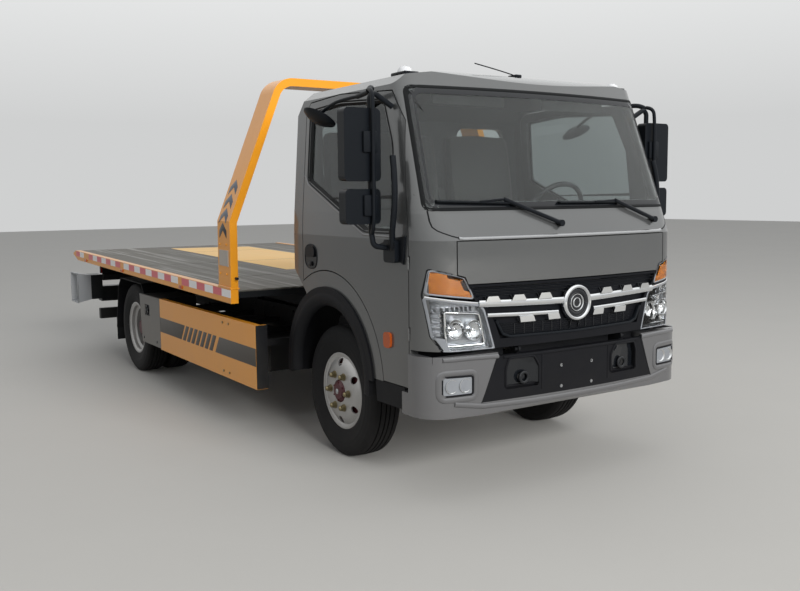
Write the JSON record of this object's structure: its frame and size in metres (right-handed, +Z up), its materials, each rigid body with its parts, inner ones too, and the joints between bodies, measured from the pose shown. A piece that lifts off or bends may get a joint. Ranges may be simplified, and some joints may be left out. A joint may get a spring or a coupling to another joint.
{
  "type": "flatbed tow truck",
  "caption": "Light cab-over flatbed tow truck with sliding, tilting bed, rear wheel lift, cab guard arch and side lockers.",
  "frame": {"origin": "on the ground under the middle of the whole truck", "axes": "+X forward along the truck, +Y to its left, +Z up"},
  "size_m": [5.995, 2.356, 2.2686],
  "materials": {
    "chassis_paint": "satin black chassis paint",
    "dark_paint": "dark grey paint",
    "spring_steel": "dark oxide",
    "cast_iron": "rough cast",
    "tank_metal": "dull sheet",
    "black_plastic": "fine grain",
    "trim_plastic": "soft grain",
    "yellow_paint": "gloss yellow paint",
    "lamp_lens": "clear lens",
    "bumper_paint": "metallic paint",
    "cab_paint": "metallic grey paint",
    "glass": "clear tinted glass",
    "seat_fabric": "woven fabric",
    "deck_paint": "grey deck paint with wear",
    "rope_steel": "wire rope",
    "rod_chrome": "polished",
    "tyre_rubber": "road rubber",
    "rim_paint": "silver paint",
    "locker_paint": "grey paint"
  },
  "bodies": {
    "chassis": {"frame_rails": "chassis_paint", "frame_members": "chassis_paint", "frame_tail": "chassis_paint", "lift_ears": "chassis_paint", "front_axle": "chassis_paint", "rear_axle": "chassis_paint", "leaf_springs": "spring_steel", "engine_block": "cast_iron", "driveline": "chassis_paint", "fuel_tank": "tank_metal", "battery_box": "black_plastic", "rear_mudguards": "black_plastic", "side_guards": "yellow_paint", "tool_boxes": "dark_paint", "underrun_bars": "chassis_paint", "tail_lamps": "lamp_lens", "bumper": "bumper_paint", "bumper_insert": "black_plastic", "fog_lamps": "lamp_lens"},
    "cab": {"cab_shell": "cab_paint", "cab_floor": "dark_paint", "cab_windows": "glass", "grille": "black_plastic", "headlamps": "lamp_lens", "wheel_flares": "black_plastic", "dashboard": "trim_plastic", "steering_wheel": "black_plastic", "seats": "seat_fabric"},
    "front_lid": {"front_lid": "cab_paint"},
    "tilt_frame": {"tilt_frame": "dark_paint"},
    "bed": {"bed_deck": "deck_paint", "bed_rails": "yellow_paint", "bed_arch": "yellow_paint", "winch": "dark_paint"},
    "winch_drum": {"winch_drum": "rope_steel"},
    "tilt_barrels": {"tilt_barrels": "dark_paint"},
    "tilt_rods": {"tilt_rods": "rod_chrome"},
    "lift_boom": {"lift_boom": "dark_paint"},
    "lift_slide": {"lift_crossbar": "dark_paint"},
    "steer_right": {"knuckle_right": "cast_iron"},
    "wheel_front_right": {"tyre_front_right": "tyre_rubber", "rim_front_right": "rim_paint"},
    "wheel_rear_right": {"tyres_rear_right": "tyre_rubber", "rims_rear_right": "rim_paint"},
    "door_right": {"door_right": "cab_paint", "door_glass_right": "glass", "mirrors_right": "black_plastic"},
    "tool_box_door_right": {"tool_box_door_right": "locker_paint"},
    "steer_left": {"knuckle_left": "cast_iron"},
    "wheel_front_left": {"tyre_front_left": "tyre_rubber", "rim_front_left": "rim_paint"},
    "wheel_rear_left": {"tyres_rear_left": "tyre_rubber", "rims_rear_left": "rim_paint"},
    "door_left": {"door_left": "cab_paint", "door_glass_left": "glass", "mirrors_left": "black_plastic"},
    "tool_box_door_left": {"tool_box_door_left": "locker_paint"}
  },
  "joints": [
    {"name": "steering_right", "type": "hinge", "parent": "chassis", "child": "steer_right", "pos_m": [1.8925, -0.6, 0.384], "axis": [0, 0, 1], "range_deg": [-30, 30]},
    {"name": "wheel_spin_front_right", "type": "hinge", "parent": "steer_right", "child": "wheel_front_right", "pos_m": [1.8925, -0.712, 0.384], "axis": [0, 1, 0], "continuous": true},
    {"name": "wheel_spin_rear_right", "type": "hinge", "parent": "chassis", "child": "wheel_rear_right", "pos_m": [-1.4155, -0.7925, 0.384], "axis": [0, 1, 0], "continuous": true},
    {"name": "door_hinge_right", "type": "hinge", "parent": "cab", "child": "door_right", "pos_m": [2.7425, -0.887, 1.2], "axis": [0, 0, 1], "range_deg": [0, 60]},
    {"name": "tool_box_hinge_right", "type": "hinge", "parent": "chassis", "child": "tool_box_door_right", "pos_m": [-0.7075, -1.086, 0.334], "axis": [1, 0, 0], "range_deg": [0, 90]},
    {"name": "steering_left", "type": "hinge", "parent": "chassis", "child": "steer_left", "pos_m": [1.8925, 0.6, 0.384], "axis": [0, 0, 1], "range_deg": [-30, 30]},
    {"name": "wheel_spin_front_left", "type": "hinge", "parent": "steer_left", "child": "wheel_front_left", "pos_m": [1.8925, 0.712, 0.384], "axis": [0, 1, 0], "continuous": true},
    {"name": "wheel_spin_rear_left", "type": "hinge", "parent": "chassis", "child": "wheel_rear_left", "pos_m": [-1.4155, 0.7925, 0.384], "axis": [0, 1, 0], "continuous": true},
    {"name": "door_hinge_left", "type": "hinge", "parent": "cab", "child": "door_left", "pos_m": [2.7425, 0.887, 1.2], "axis": [0, 0, -1], "range_deg": [0, 60]},
    {"name": "tool_box_hinge_left", "type": "hinge", "parent": "chassis", "child": "tool_box_door_left", "pos_m": [-0.7075, 1.086, 0.334], "axis": [-1, 0, 0], "range_deg": [0, 90]},
    {"name": "cab_tilt", "type": "hinge", "parent": "chassis", "child": "cab", "pos_m": [2.9525, 0, 0.735], "axis": [0, 1, 0], "range_deg": [0, 40]},
    {"name": "front_lid_hinge", "type": "hinge", "parent": "cab", "child": "front_lid", "pos_m": [2.9825, 0, 1.29], "axis": [0, -1, 0], "range_deg": [0, 50]},
    {"name": "bed_tilt", "type": "hinge", "parent": "chassis", "child": "tilt_frame", "pos_m": [-2.7975, 0, 0.8], "axis": [0, -1, 0], "range_deg": [0, 16]},
    {"name": "bed_slide", "type": "slide", "parent": "tilt_frame", "child": "bed", "axis": [-0.9998, 0, 0.0175], "range_m": [0, 2.9]},
    {"name": "winch_drum_spin", "type": "hinge", "parent": "bed", "child": "winch_drum", "pos_m": [0.89136, 0, 1.03193], "axis": [0, 1, 0], "continuous": true},
    {"name": "tilt_barrel_pivot", "type": "hinge", "parent": "chassis", "child": "tilt_barrels", "pos_m": [0.2725, 0, 0.545], "axis": [0, 1, 0], "range_deg": [0, 24.5]},
    {"name": "tilt_rod_slide", "type": "slide", "parent": "tilt_barrels", "child": "tilt_rods", "axis": [-0.9775, 0, 0.2108], "range_m": [0, 0.31]},
    {"name": "lift_hinge", "type": "hinge", "parent": "chassis", "child": "lift_boom", "pos_m": [-2.0075, 0, 0.565], "axis": [0, -1, 0], "range_deg": [0, 12]},
    {"name": "lift_extend", "type": "slide", "parent": "lift_boom", "child": "lift_slide", "axis": [-1, 0, 0], "range_m": [0, 0.42]}
  ],
  "couplings": [
    {"joint": "steering_left", "follows": "steering_right", "ratio": 1},
    {"joint": "tilt_barrel_pivot", "follows": "bed_tilt", "ratio": 1.4777},
    {"joint": "tilt_rod_slide", "follows": "bed_tilt", "m_per_rad": 1.0758}
  ]
}
